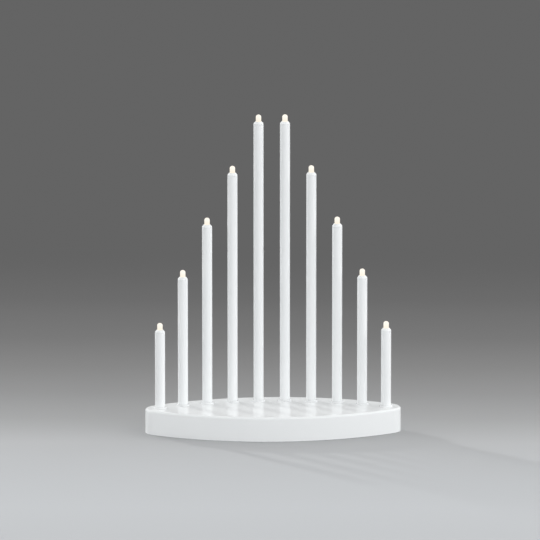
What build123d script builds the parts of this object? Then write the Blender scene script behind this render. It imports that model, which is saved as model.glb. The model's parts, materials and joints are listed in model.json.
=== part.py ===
from build123d import *

import os
from math import asin, atan2, cos, degrees, radians, sin, sqrt, tau

# Electric candle arch: a lens-shaped base that holds its cells, with a curved row of LED candles.
# All sizes are in millimetres. The origin is under the middle of the base, on the surface that
# the feet stand on. +X runs to the right along the base, +Y to the back and +Z up.

# Base in plan: two long arcs that meet two round ends
base_length = 240.0
base_depth = 96.0
end_radius = 16.5

# Base shell
shell_lift = 0.5
side_wall = 2.4
top_wall = 2.4
top_edge_radius = 2.2
bottom_bevel = 0.3
head_room = 1.7
rib_wall = 1.6
rib_depth = 7.0

# Underside plate
plate_recess = 0.6
plate_thickness = 2.2
plate_clearance = 0.2

# Row of candles
candle_count = 10
row_back = 29.6
row_bow = 30.0
row_end_margin = 14.0
shortest_candle = 73.0
candle_step = 48.0

# Candle tube with its sloping tip, and the socket that it stands in
tube_diameter = 9.5
tube_sunk = 11.0
tube_fit = 0.05
tip_height = 1.9
tip_diameter = 6.4
socket_wall = 1.9
collar_diameter = 12.0
collar_height = 1.3

# LED, with the twin lead that is soldered to it
led_diameter = 5.0
led_fit = 0.05
led_stand = 6.6
led_sunk = 3.0
lead_width = 2.6
lead_thickness = 1.2

# Row board, under the sockets
row_board_width = 8.0
row_board_thickness = 1.2
row_board_margin_share = 0.25
row_clip_pitches = (-3, 0, 3)

# Snap hooks, which hold the plate, the row board and the timer board
hook_width = 6.0
hook_thickness = 1.2
hook_barb = 1.0
hook_nose = 1.6
hook_gap = 0.2
plate_hook_shares = (-0.6, 0, 0.6)
lug_height = 1.5
lug_rise = 4.0

# Stick-on feet
foot_length = 16.0
foot_width = 6.0
foot_inset = 10.0
foot_shares = (-0.7, 0.7)

# Cells
cell_count = 3
cell_diameter = 14.5
cell_length = 50.5
nub_diameter = 5.5
nub_height = 1.2

# Battery box, moulded into the plate
box_centre_y = -9.5
box_wall = 1.5
cell_gap = 0.5
cell_side_gap = 0.4
cell_door_gap = 0.3
cell_roof_gap = 0.3
fin_thickness = 1.0
fin_depth = 4.0
fin_end_gap = 0.3

# Battery door and its hinge
door_thickness = 1.8
door_gap = 0.3
barrel_diameter = 3.0
hinge_gap = 0.3
pin_diameter = 1.8
pin_length = 1.6
pin_fit = 0.06
pin_end_gap = 0.3

# Catch at the door's front edge
tongue_width = 9.0
tongue_thickness = 0.9
tongue_height = 5.6
barb_depth = 0.5
barb_height = 1.4
catch_gap = 0.6
catch_depth = 0.5
catch_height = 1.0
catch_lift = 1.9
pocket_wall = 1.2
scoop_radius = 7.0
scoop_depth = 1.2

# Contacts
contact_thickness = 0.4
contact_width = 11.0
contact_top_gap = 0.5
button_side = 5.0
button_height = 0.5
button_taper = 45.0
tag_width = 2.5
tag_reach = 3.5
tag_fit = 0.3

# Conical contact springs
spring_length = 5.0
spring_turns = 1.5
spring_base_radius = 4.2
spring_tip_radius = 2.5
spring_wire = 0.7
spring_end_gap = 0.05
spring_samples = 240

# Timer board, on posts on the plate
timer_board_x = 55.0
timer_board_y = -12.0
timer_board_length = 34.0
timer_board_depth = 28.0
timer_board_thickness = 1.6
post_side = 5.0
chip_length = 5.0
chip_width = 4.0
chip_height = 1.5
chip_offset = (-6.0, -3.0)
capacitor_diameter = 6.3
capacitor_height = 8.0
capacitor_offset = (8.0, 6.0)
resistor_length = 3.2
resistor_width = 1.6
resistor_height = 0.6
resistor_count = 3
resistor_spacing = 3.0
resistor_offset = (4.0, -5.0)

# Slide switch, between the timer board and the plate
switch_length = 13.0
switch_width = 6.6
switch_height = 3.6
switch_floor = 0.7
switch_roof = 0.8
switch_offset_y = -2.0
switch_travel = 4.0
carriage_length = 5.5
carriage_width = 4.4
slider_clearance = 0.1
slider_end_gap = 0.2
knob_length = 3.0
knob_width = 2.0
knob_fit = 0.2
knob_recess = 0.3
groove_width = 0.5
groove_depth = 0.3
groove_spacing = 1.0
slot_gap = 0.4
slot_recess_margin = 4.0
slot_recess_depth = 0.9

# Wires laid on the plate, and the terminal block that they end at
wire_width = 1.0
wire_seat_gap = 0.05
wire_bend = 4.0
wire_rear_reach = 2.1
wire_pitch = 3.0
terminal_length = 10.0
terminal_width = 4.0
terminal_gap = 1.0
terminal_inset = 4.0

# One overrun serves every cut
overrun = 1.0

# Heights, worked out from the stack of plate, door, cells and box
half_length = base_length / 2
half_depth = base_depth / 2
plate_outer = shell_lift + plate_recess
plate_inner = plate_outer + plate_thickness
door_inner = plate_outer + door_thickness
cell_z = door_inner + cell_door_gap + cell_diameter / 2
box_ceiling = cell_z + cell_diameter / 2 + cell_roof_gap
box_top = box_ceiling + box_wall
shell_ceiling = box_top + head_room
base_top = shell_ceiling + top_wall
tube_foot = base_top - tube_sunk
row_board_bottom = tube_foot - row_board_thickness
switch_top = plate_inner + switch_height
timer_board_top = switch_top + timer_board_thickness
wire_z = plate_inner + wire_width / 2 + wire_seat_gap

# Plan of the base, worked out so that the long arcs meet the round ends without a corner
end_centre_x = half_length - end_radius
edge_radius = (end_centre_x**2 + half_depth**2 - end_radius**2) / (base_depth - 2 * end_radius)
edge_centre_y = edge_radius - half_depth
join_angle = degrees(atan2(edge_centre_y, end_centre_x))
edge_half_angle = 90 - join_angle

# Row of candles, worked out as an arc through its middle and its two ends
row_end_x = half_length - row_end_margin
row_radius = (row_end_x**2 + row_bow**2) / (2 * row_bow)
row_centre_y = row_back - row_radius
row_reach = (candle_count - 1) / 2
candle_pitch = row_radius * asin(row_end_x / row_radius) / row_reach

# Battery box in plan
cell_pitch = cell_diameter + cell_gap
box_length = cell_length + spring_length + button_height + 2 * contact_thickness
box_width = cell_pitch * (cell_count - 1) + cell_diameter + 2 * cell_side_gap
box_end_x = box_length / 2
box_front_y = box_centre_y - box_width / 2
box_rear_y = box_centre_y + box_width / 2
cell_rows = [box_centre_y + cell_pitch * (row - (cell_count - 1) / 2) for row in range(cell_count)]
fin_rows = [box_centre_y + cell_pitch * (row - (cell_count - 2) / 2) for row in range(cell_count - 1)]

# Hinge, catch pocket and switch
barrel_radius = barrel_diameter / 2
hinge_y = box_rear_y + barrel_radius
hinge_z = plate_outer + barrel_radius
trough_rear_y = hinge_y + barrel_radius + hinge_gap
trough_top = hinge_z + barrel_radius + hinge_gap
housing_end_x = box_end_x + pin_length + pin_end_gap + pocket_wall
pocket_depth = door_gap + tongue_thickness + barb_depth + catch_gap + catch_depth
pocket_half_width = tongue_width / 2 + door_gap
pocket_front_y = box_front_y - pocket_depth
tongue_top = door_inner + tongue_height
pocket_top = tongue_top + door_gap
switch_y = timer_board_y + switch_offset_y
carriage_bottom = plate_inner + switch_floor + slider_clearance
carriage_top = switch_top - switch_roof - slider_clearance
knob_travel = knob_length + switch_travel
slider_x = timer_board_x - switch_travel / 2


def save(piece, name):
    """Label a finished piece and write its STEP file."""
    piece.part.label = name
    export_step(piece.part, f"parts/{name}.step")


def base_outline(inset):
    """Face of the base in plan, drawn in from the outer wall by the inset."""
    long_sweep = 2 * edge_half_angle
    short_sweep = 2 * join_angle
    with BuildSketch() as outline:
        with BuildLine():
            CenterArc((end_centre_x, 0), end_radius - inset, -join_angle, short_sweep)
            CenterArc((0, -edge_centre_y), edge_radius - inset, join_angle, long_sweep)
            CenterArc((-end_centre_x, 0), end_radius - inset, 180 - join_angle, short_sweep)
            CenterArc((0, edge_centre_y), edge_radius - inset, 180 + join_angle, long_sweep)
        make_face()
    return outline.sketch


def row_strip(width, reach_pitches):
    """Face of a curved strip that follows the row of candles, the same reach to each side."""
    reach = degrees(reach_pitches * candle_pitch / row_radius)
    with BuildSketch() as strip:
        with BuildLine():
            outer = CenterArc((0, row_centre_y), row_radius + width / 2, 90 - reach, 2 * reach)
            inner = CenterArc((0, row_centre_y), row_radius - width / 2, 90 - reach, 2 * reach)
            Line(outer @ 0, inner @ 0)
            Line(outer @ 1, inner @ 1)
        make_face()
    return strip.sketch


def row_point(pitches):
    """Point in plan on the row of candles, counted in pitches from its middle."""
    angle = pitches * candle_pitch / row_radius
    return (row_radius * sin(angle), row_centre_y + row_radius * cos(angle))


def row_plane(pitches, height=0):
    """Level plane at a point of the row, with its Y axis pointing out from the row's centre."""
    angle = pitches * candle_pitch / row_radius
    x, y = row_point(pitches)
    return Plane(origin=(x, y, height), x_dir=(cos(angle), -sin(angle), 0), z_dir=(0, 0, 1))


def row_upright(pitches, height):
    """Upright plane at a point of the row, square to the row's radius, for profiles to revolve."""
    level = row_plane(pitches, height)
    return Plane(origin=level.origin, x_dir=level.x_dir, z_dir=-level.y_dir)


def row_axis(pitches):
    """Vertical axis of the candle at a point of the row."""
    return Axis((*row_point(pitches), 0), (0, 0, 1))


def hook_plane(root, toward, up):
    """Upright plane for a hook's profile: the barb points toward, and the hook stands up."""
    return Plane(origin=root, x_dir=toward, z_dir=Vector(toward).cross(Vector(up)))


def hook_profile(grip_height):
    """Face of a snap hook, with its inner side on the Y axis and its barb over what it grips."""
    with BuildSketch() as profile:
        with BuildLine():
            Polyline(
                (-hook_thickness, 0),
                (0, 0),
                (0, grip_height),
                (hook_barb, grip_height),
                (0, grip_height + hook_nose),
                (-hook_thickness, grip_height + hook_nose),
                close=True,
            )
        make_face()
    return profile.sketch


def edge_place(side, share, inset):
    """Place in plan along the rear edge (side 1) or the front one (side -1), with its Y axis outwards."""
    angle = share * edge_half_angle
    radius = edge_radius - inset
    x = radius * sin(radians(angle))
    y = side * (radius * cos(radians(angle)) - edge_centre_y)
    turn = -angle if side > 0 else 180 + angle
    return Location((x, y, 0), (0, 0, turn))


# Places of what repeats
candle_places = [number - row_reach for number in range(candle_count)]
candle_heights = [
    shortest_candle + candle_step * min(number, candle_count - 1 - number)
    for number in range(candle_count)
]
candle_points = [row_point(place) for place in candle_places]
post_reach_x = (timer_board_length - post_side) / 2
post_reach_y = (timer_board_depth - post_side) / 2
post_points = [
    (timer_board_x - post_reach_x, timer_board_y + post_reach_y),
    (timer_board_x + post_reach_x, timer_board_y + post_reach_y),
    (timer_board_x + post_reach_x, timer_board_y - post_reach_y),
]
foot_places = [edge_place(side, share, foot_inset) for side in (1, -1) for share in foot_shares]
hook_places = [
    edge_place(side, share, side_wall + hook_barb + hook_gap)
    for side in (1, -1)
    for share in plate_hook_shares
]
lug_places = [
    edge_place(side, share, side_wall + hook_barb)
    for side in (1, -1)
    for share in plate_hook_shares
]

os.makedirs("parts", exist_ok=True)

# Base shell: the glossy housing, open below, with a collar and a socket for every candle
socket_side = tube_diameter + 2 * (tube_fit + socket_wall)
lug_bottom = plate_inner + lug_rise
with BuildPart() as base_shell:
    with BuildSketch(Plane.XY.offset(shell_lift)):
        add(base_outline(0))
    extrude(amount=base_top - shell_lift)
    fillet(base_shell.edges().group_by(Axis.Z)[-1], radius=top_edge_radius)
    chamfer(base_shell.edges().group_by(Axis.Z)[0], length=bottom_bevel)
    with BuildSketch(Plane.XY.offset(shell_ceiling)):
        add(base_outline(side_wall))
    extrude(amount=shell_lift - shell_ceiling - overrun, mode=Mode.SUBTRACT)
    with BuildSketch(Plane.XY.offset(base_top)):
        with Locations(*candle_points):
            Circle(collar_diameter / 2)
    extrude(amount=collar_height)
    with BuildSketch(Plane.XY.offset(tube_foot)):
        with Locations(*[row_plane(place) for place in candle_places]):
            Rectangle(socket_side, socket_side)
    extrude(amount=shell_ceiling - tube_foot)
    with BuildSketch(Plane.XY.offset(shell_ceiling - rib_depth)):
        with Locations(*[row_plane(place + 1 / 2) for place in candle_places[:-1]]):
            Rectangle(candle_pitch, rib_wall)
        with Locations(*[row_plane(place) for place in candle_places[1:-1]]):
            Rectangle(rib_wall, half_depth, align=(Align.CENTER, Align.MIN))
        add(base_outline(side_wall / 2), mode=Mode.INTERSECT)
    extrude(amount=rib_depth)
    with BuildSketch(Plane.XY.offset(lug_bottom)):
        with Locations(*lug_places):
            Rectangle(hook_width, hook_barb + side_wall / 2, align=(Align.CENTER, Align.MIN))
    extrude(amount=lug_height)
    for place in row_clip_pitches:
        across = row_plane(place).y_dir
        for side in (1, -1):
            root = row_plane(place, shell_ceiling).origin + across * side * (row_board_width / 2 + hook_gap)
            with BuildSketch(hook_plane(root, -across * side, (0, 0, -1))):
                add(hook_profile(shell_ceiling - row_board_bottom + hook_gap))
            extrude(amount=hook_width / 2, both=True)
    with Locations(*[(x, y, base_top + collar_height) for x, y in candle_points]):
        Hole(tube_diameter / 2 + tube_fit, depth=collar_height + tube_sunk)
save(base_shell, "base_shell")

# Underside plate, with the battery box, hinge housing, catch pocket, hooks and board posts
recess_length = knob_travel + 2 * slot_recess_margin
recess_width = knob_width + 2 * slot_recess_margin
board_hook_x = timer_board_length / 2 + hook_gap
with BuildPart() as base_plate:
    with BuildSketch(Plane.XY.offset(plate_outer)):
        add(base_outline(side_wall + plate_clearance))
    extrude(amount=plate_thickness)
    with BuildSketch(Plane.XY.offset(plate_inner)):
        with Locations((0, box_centre_y)):
            Rectangle(box_length + 2 * box_wall, box_width + 2 * box_wall)
    extrude(amount=box_top - plate_inner)
    with BuildSketch(Plane.XY.offset(plate_inner)):
        with Locations((0, box_rear_y)):
            Rectangle(
                2 * housing_end_x,
                trough_rear_y + box_wall - box_rear_y,
                align=(Align.CENTER, Align.MIN),
            )
    extrude(amount=trough_top + box_wall - plate_inner)
    with BuildSketch(Plane.XY.offset(plate_inner)):
        with Locations((0, box_front_y)):
            Rectangle(
                2 * (pocket_half_width + pocket_wall),
                pocket_depth + pocket_wall,
                align=(Align.CENTER, Align.MAX),
            )
    extrude(amount=pocket_top + pocket_wall - plate_inner)
    with BuildSketch(Plane.XY.offset(plate_inner)):
        with Locations(*post_points):
            Rectangle(post_side, post_side)
    extrude(amount=switch_height)
    for place in hook_places:
        level = Plane(place).offset(plate_inner)
        with BuildSketch(hook_plane(level.origin, level.y_dir, level.z_dir)):
            add(hook_profile(lug_rise + lug_height + hook_gap))
        extrude(amount=hook_width / 2, both=True)
    for side in (1, -1):
        root = (timer_board_x + side * board_hook_x, timer_board_y, plate_inner)
        with BuildSketch(hook_plane(root, (-side, 0, 0), (0, 0, 1))):
            add(hook_profile(timer_board_top - plate_inner + hook_gap))
        extrude(amount=hook_width / 2, both=True)
    with BuildSketch(Plane.XY.offset(box_ceiling)):
        with Locations((0, box_centre_y)):
            Rectangle(box_length, box_width)
    extrude(amount=plate_outer - box_ceiling - overrun, mode=Mode.SUBTRACT)
    with BuildSketch(Plane.XY.offset(trough_top)):
        with Locations((0, box_rear_y)):
            Rectangle(box_length, trough_rear_y - box_rear_y, align=(Align.CENTER, Align.MIN))
    extrude(amount=plate_outer - trough_top - overrun, mode=Mode.SUBTRACT)
    with BuildSketch(Plane.XY.offset(pocket_top)):
        with Locations((0, box_front_y)):
            Rectangle(2 * pocket_half_width, pocket_depth, align=(Align.CENTER, Align.MAX))
    extrude(amount=plate_outer - pocket_top - overrun, mode=Mode.SUBTRACT)
    with BuildSketch(Plane.XY.offset(door_inner + catch_lift)):
        with Locations((0, pocket_front_y - pocket_wall / 2)):
            Rectangle(
                2 * pocket_half_width + pocket_wall,
                catch_depth + pocket_wall / 2,
                align=(Align.CENTER, Align.MIN),
            )
    extrude(amount=catch_height)
    with BuildSketch(Plane.XY.offset(box_ceiling - fin_depth)):
        with Locations(*[(0, row) for row in fin_rows]):
            Rectangle(box_length - 2 * (contact_thickness + fin_end_gap), fin_thickness)
    extrude(amount=fin_depth + box_wall / 2)
    with BuildSketch(Plane.YZ.offset(-box_end_x - pin_length - pin_end_gap)):
        with Locations((hinge_y, hinge_z)):
            Circle(pin_diameter / 2 + pin_fit)
    extrude(amount=2 * (box_end_x + pin_length + pin_end_gap), mode=Mode.SUBTRACT)
    for side, row in ((-1, -1), (1, 0)):
        with BuildSketch(Plane.YZ.offset(side * (box_end_x - overrun))):
            with Locations((cell_rows[row], wire_z)):
                Rectangle(tag_width + 2 * tag_fit, contact_thickness + 2 * tag_fit)
        extrude(amount=side * (box_wall + 2 * overrun), mode=Mode.SUBTRACT)
    with BuildSketch(Plane.XY.offset(plate_outer)):
        with Locations((timer_board_x, switch_y)):
            Rectangle(recess_length, recess_width)
    extrude(amount=slot_recess_depth, mode=Mode.SUBTRACT)
    with BuildSketch(Plane.XY.offset(plate_outer)):
        with Locations((timer_board_x, switch_y)):
            Rectangle(knob_travel + 2 * slot_gap, knob_width + 2 * slot_gap)
    extrude(amount=plate_thickness, mode=Mode.SUBTRACT)
    with BuildSketch(Plane.XY.offset(plate_outer)):
        with Locations((0, pocket_front_y)):
            Circle(scoop_radius)
        with Locations((0, pocket_front_y)):
            Rectangle(2 * scoop_radius, scoop_radius, align=(Align.CENTER, Align.MIN), mode=Mode.SUBTRACT)
    extrude(amount=scoop_depth, mode=Mode.SUBTRACT)
save(base_plate, "base_plate")

# Battery door: a flat panel with a hinge barrel and pins behind and a catch tongue in front
door_end_x = box_end_x - door_gap
tab_front_y = pocket_front_y + door_gap
tongue_rear_y = box_front_y - door_gap
tongue_front_y = tongue_rear_y - tongue_thickness
with BuildPart() as battery_door:
    with BuildSketch(Plane.XY.offset(plate_outer)):
        with Locations((0, hinge_y)):
            Rectangle(2 * door_end_x, hinge_y - box_front_y - door_gap, align=(Align.CENTER, Align.MAX))
        with Locations((0, tab_front_y)):
            Rectangle(tongue_width, hinge_y - tab_front_y, align=(Align.CENTER, Align.MIN))
    extrude(amount=door_thickness)
    with BuildSketch(Plane.YZ.offset(-door_end_x)):
        with Locations((hinge_y, hinge_z)):
            Circle(barrel_radius)
    extrude(amount=2 * door_end_x)
    with BuildSketch(Plane.YZ.offset(-box_end_x - pin_length)):
        with Locations((hinge_y, hinge_z)):
            Circle(pin_diameter / 2)
    extrude(amount=2 * (box_end_x + pin_length))
    with BuildSketch(Plane.YZ.offset(-tongue_width / 2)):
        with BuildLine():
            Polyline(
                (tongue_rear_y, door_inner),
                (tongue_rear_y, tongue_top),
                (tongue_front_y, tongue_top),
                (tongue_front_y - barb_depth, tongue_top - barb_height / 2),
                (tongue_front_y - barb_depth, tongue_top - barb_height),
                (tongue_front_y, tongue_top - barb_height),
                (tongue_front_y, door_inner),
                close=True,
            )
        make_face()
    extrude(amount=tongue_width)
save(battery_door, "battery_door")

# Cells, side by side, each turned end for end from its neighbour
with BuildPart() as battery_cells:
    for row, cell_y in enumerate(cell_rows):
        nub_side = -1 if (cell_count - 1 - row) % 2 == 0 else 1
        tip_x = nub_side * (box_end_x - contact_thickness - button_height)
        with BuildSketch(Plane.YZ.offset(tip_x)):
            with Locations((cell_y, cell_z)):
                Circle(nub_diameter / 2)
        extrude(amount=-nub_side * nub_height)
        with BuildSketch(Plane.YZ.offset(tip_x - nub_side * nub_height)):
            with Locations((cell_y, cell_z)):
                Circle(cell_diameter / 2)
        extrude(amount=-nub_side * (cell_length - nub_height))
save(battery_cells, "battery_cells")


# Contacts: thin plates against the end walls, with a button for a nub and a tag for a wire
def contact(side, rows, button_row, tag_row):
    """Contact plate at one end wall, over one or two rows; side is -1 at the left, 1 at the right."""
    width = contact_width + cell_pitch * (len(rows) - 1)
    middle_y = sum(cell_rows[row] for row in rows) / len(rows)
    bottom = wire_z - contact_thickness / 2
    top = box_ceiling - contact_top_gap
    with BuildPart() as plate:
        with BuildSketch(Plane.YZ.offset(side * box_end_x)):
            with Locations((middle_y, bottom)):
                Rectangle(width, top - bottom, align=(Align.CENTER, Align.MIN))
        extrude(amount=-side * contact_thickness)
        if button_row is not None:
            with BuildSketch(Plane.YZ.offset(side * (box_end_x - contact_thickness))):
                with Locations((cell_rows[button_row], cell_z)):
                    Rectangle(button_side, button_side)
            extrude(amount=-side * button_height, taper=button_taper)
        if tag_row is not None:
            with BuildSketch(Plane.YZ.offset(side * box_end_x)):
                with Locations((cell_rows[tag_row], wire_z)):
                    Rectangle(tag_width, contact_thickness)
            extrude(amount=side * (box_wall + tag_reach))
    return plate


save(contact(-1, (2,), 2, 2), "contact_positive")
save(contact(1, (1, 2), 1, None), "contact_bridge_right")
save(contact(-1, (0, 1), 0, None), "contact_bridge_left")
save(contact(1, (0,), None, 0), "contact_negative")


# Conical springs: one unbroken wire each, wound on biarcs of half a turn
def spring_point(side, cell_y, turn):
    """Point and direction of a spring's centre line after some turns from its wide end."""
    rise = spring_length - spring_wire - 2 * spring_end_gap
    start = side * (box_end_x - contact_thickness)
    first = spring_wire / 2 + spring_end_gap
    drop = (spring_tip_radius - spring_base_radius) / spring_turns
    radius = spring_base_radius + drop * turn
    angle = tau * turn
    point = Vector(
        start - side * (first + rise * turn / spring_turns),
        cell_y + radius * cos(angle),
        cell_z + radius * sin(angle),
    )
    direction = Vector(
        -side * rise / spring_turns,
        drop * cos(angle) - tau * radius * sin(angle),
        drop * sin(angle) + tau * radius * cos(angle),
    ).normalized()
    return point, direction


def spring_path(side, cell_y):
    """Centre line of one spring: two arcs that meet without a corner for each half turn."""
    half_turns = round(2 * spring_turns)
    with BuildLine() as line:
        for half in range(half_turns):
            start, leaving = spring_point(side, cell_y, half / 2)
            end, arriving = spring_point(side, cell_y, (half + 1) / 2)
            span = end - start
            both = leaving + arriving
            spread = 2 * (1 - leaving.dot(arriving))
            along = span.dot(both)
            reach = (sqrt(along**2 + spread * span.dot(span)) - along) / spread
            middle = (start + end + (leaving - arriving) * reach) * 0.5
            first_arc = TangentArc(start, middle, tangent=leaving)
            TangentArc(middle, end, tangent=first_arc % 1)
    return line.wire()


def spring_gap(path):
    """Least gap between a spring's own turns, measured on points along its centre line."""
    points = [path @ (step / spring_samples) for step in range(spring_samples + 1)]
    apart = round(spring_samples / spring_turns / 2)
    least = min(
        (points[later] - points[earlier]).length
        for earlier in range(len(points))
        for later in range(earlier + apart, len(points))
    )
    return least - spring_wire * sqrt(2)


spring_places = [(1, cell_rows[0]), (-1, cell_rows[1]), (1, cell_rows[2])]
with BuildPart() as contact_springs:
    for side, cell_y in spring_places:
        path = spring_path(side, cell_y)
        with BuildSketch(Plane(origin=path @ 0, x_dir=(side, 0, 0), z_dir=path % 0)) as wire_section:
            Rectangle(spring_wire, spring_wire)
        sweep(sections=wire_section.sketch, path=path)
        print("spring gap", round(spring_gap(path), 2))
save(contact_springs, "contact_springs")

# Timer board, with the chip, capacitor and resistors on top of it
with BuildPart() as timer_board:
    with BuildSketch(Plane.XY.offset(switch_top)):
        with Locations((timer_board_x, timer_board_y)):
            Rectangle(timer_board_length, timer_board_depth)
    extrude(amount=timer_board_thickness)
save(timer_board, "timer_board")

with BuildPart() as timer_chip:
    with BuildSketch(Plane.XY.offset(timer_board_top)):
        with Locations((timer_board_x + chip_offset[0], timer_board_y + chip_offset[1])):
            Rectangle(chip_length, chip_width)
    extrude(amount=chip_height)
save(timer_chip, "timer_chip")

with BuildPart() as capacitor:
    with BuildSketch(Plane.XY.offset(timer_board_top)):
        with Locations((timer_board_x + capacitor_offset[0], timer_board_y + capacitor_offset[1])):
            Circle(capacitor_diameter / 2)
    extrude(amount=capacitor_height)
save(capacitor, "capacitor")

with BuildPart() as resistors:
    with BuildSketch(Plane.XY.offset(timer_board_top)):
        with Locations((timer_board_x + resistor_offset[0], timer_board_y + resistor_offset[1])):
            with GridLocations(0, resistor_spacing, 1, resistor_count):
                Rectangle(resistor_length, resistor_width)
    extrude(amount=resistor_height)
save(resistors, "resistors")

# Slide switch: a hollow casing, and the slider whose knob comes out through the plate
with BuildPart() as switch_casing:
    with BuildSketch(Plane.XY.offset(plate_inner)):
        with Locations((timer_board_x, switch_y)):
            Rectangle(switch_length, switch_width)
    extrude(amount=switch_height)
    with BuildSketch(Plane.XY.offset(plate_inner + switch_floor)):
        with Locations((timer_board_x, switch_y)):
            Rectangle(
                carriage_length + switch_travel + 2 * slider_end_gap,
                carriage_width + 2 * slider_clearance,
            )
    extrude(amount=switch_height - switch_floor - switch_roof, mode=Mode.SUBTRACT)
    with BuildSketch(Plane.XY.offset(plate_inner)):
        with Locations((timer_board_x, switch_y)):
            Rectangle(knob_travel + 2 * knob_fit, knob_width + 2 * knob_fit)
    extrude(amount=switch_floor, mode=Mode.SUBTRACT)
save(switch_casing, "switch_casing")

with BuildPart() as switch_slider:
    with BuildSketch(Plane.XY.offset(carriage_bottom)):
        with Locations((slider_x, switch_y)):
            Rectangle(carriage_length, carriage_width)
    extrude(amount=carriage_top - carriage_bottom)
    with BuildSketch(Plane.XY.offset(plate_outer + knob_recess)):
        with Locations((slider_x, switch_y)):
            Rectangle(knob_length, knob_width)
    extrude(amount=carriage_bottom - plate_outer - knob_recess)
    with BuildSketch(Plane.XY.offset(plate_outer + knob_recess)):
        with Locations((slider_x, switch_y)):
            with GridLocations(groove_spacing, 0, 2, 1):
                Rectangle(groove_width, knob_width)
    extrude(amount=groove_depth, mode=Mode.SUBTRACT)
save(switch_slider, "switch_slider")

# Row board: the curved strip under the sockets that feeds every candle
with BuildPart() as row_board:
    with BuildSketch(Plane.XY.offset(row_board_bottom)):
        add(row_strip(row_board_width, row_reach + row_board_margin_share))
    extrude(amount=row_board_thickness)
save(row_board, "row_board")

# Terminal block under the timer board, which the wires end at
post_right_x = timer_board_x - post_reach_x + post_side / 2
switch_left_x = timer_board_x - switch_length / 2
terminal_x = post_right_x + terminal_gap + terminal_length / 2
terminal_y = timer_board_y + timer_board_depth / 2 - terminal_inset
terminal_rear_y = terminal_y + terminal_width / 2
terminal_front_y = terminal_y - terminal_width / 2
with BuildPart() as wire_terminal:
    with BuildSketch(Plane.XY.offset(plate_inner)):
        with Locations((terminal_x, terminal_y)):
            Rectangle(terminal_length, terminal_width)
    extrude(amount=switch_height)
save(wire_terminal, "wire_terminal")


# Wires: straight runs joined by round bends, laid on the plate
def wire_along(points):
    """Add one wire to the open part, along its points, with the same bend at each corner."""
    with BuildLine() as route:
        FilletPolyline(*points, radius=wire_bend)
    path = route.wire()
    with BuildSketch(Plane(origin=path @ 0, z_dir=path % 0)) as wire_end:
        Rectangle(wire_width, wire_width)
    sweep(sections=wire_end.sketch, path=path)


tag_end_x = box_end_x + box_wall + tag_reach
supply_start = (-tag_end_x + wire_width / 2, cell_rows[-1] + tag_width / 2)
supply_rear_y = trough_rear_y + box_wall + wire_rear_reach
supply_x = (post_right_x + switch_left_x) / 2
with BuildPart() as battery_wires:
    wire_along(
        [
            (*supply_start, wire_z),
            (supply_start[0], supply_rear_y, wire_z),
            (supply_x, supply_rear_y, wire_z),
            (supply_x, terminal_rear_y, wire_z),
        ]
    )
    wire_along(
        [
            (tag_end_x, cell_rows[0], wire_z),
            (supply_x, cell_rows[0], wire_z),
            (supply_x, terminal_front_y, wire_z),
        ]
    )
save(battery_wires, "battery_wires")

with BuildPart() as feed_wires:
    for feed_x in (terminal_x, terminal_x + wire_pitch):
        feed_y = row_centre_y + sqrt(row_radius**2 - feed_x**2)
        wire_along(
            [
                (feed_x, terminal_rear_y, wire_z),
                (feed_x, feed_y, wire_z),
                (feed_x, feed_y, row_board_bottom),
            ]
        )
save(feed_wires, "feed_wires")

# Rubber feet: flat pads stuck to the plate, in line with its edges
with BuildPart() as rubber_feet:
    with BuildSketch():
        with Locations(*foot_places):
            Rectangle(foot_length, foot_width)
    extrude(amount=plate_outer)
save(rubber_feet, "rubber_feet")

# Candles, from the left end of the row to the right: a tube with its tip, and the LED in it
tube_radius = tube_diameter / 2
led_radius = led_diameter / 2
bore_radius = led_radius + led_fit
for number, (place, height) in enumerate(zip(candle_places, candle_heights), start=1):
    tube_top = base_top + height
    tip_top = tube_top + tip_height
    with BuildPart() as candle_tube:
        with BuildSketch(row_upright(place, 0)):
            with BuildLine():
                Polyline(
                    (bore_radius, tube_foot),
                    (tube_radius, tube_foot),
                    (tube_radius, tube_top),
                    (tip_diameter / 2, tip_top),
                    (bore_radius, tip_top),
                    close=True,
                )
            make_face()
        revolve(axis=row_axis(place))
    save(candle_tube, f"candle_tube_{number:02d}")

    with BuildPart() as led:
        with BuildSketch(row_plane(place, tip_top - led_sunk)):
            Circle(led_radius)
        extrude(amount=led_sunk + led_stand)
        with BuildSketch(row_plane(place, tube_foot)):
            Rectangle(lead_width, lead_thickness)
        extrude(amount=tip_top - led_sunk - tube_foot)
    save(led, f"led_{number:02d}")
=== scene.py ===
import json
import logging
from collections.abc import Mapping, Sequence
from dataclasses import dataclass
from enum import Enum
from functools import cache
from math import atan2, cos, pi, radians, sin, tan, tau

import bmesh
import bpy
from mathutils import Matrix, Vector

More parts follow.
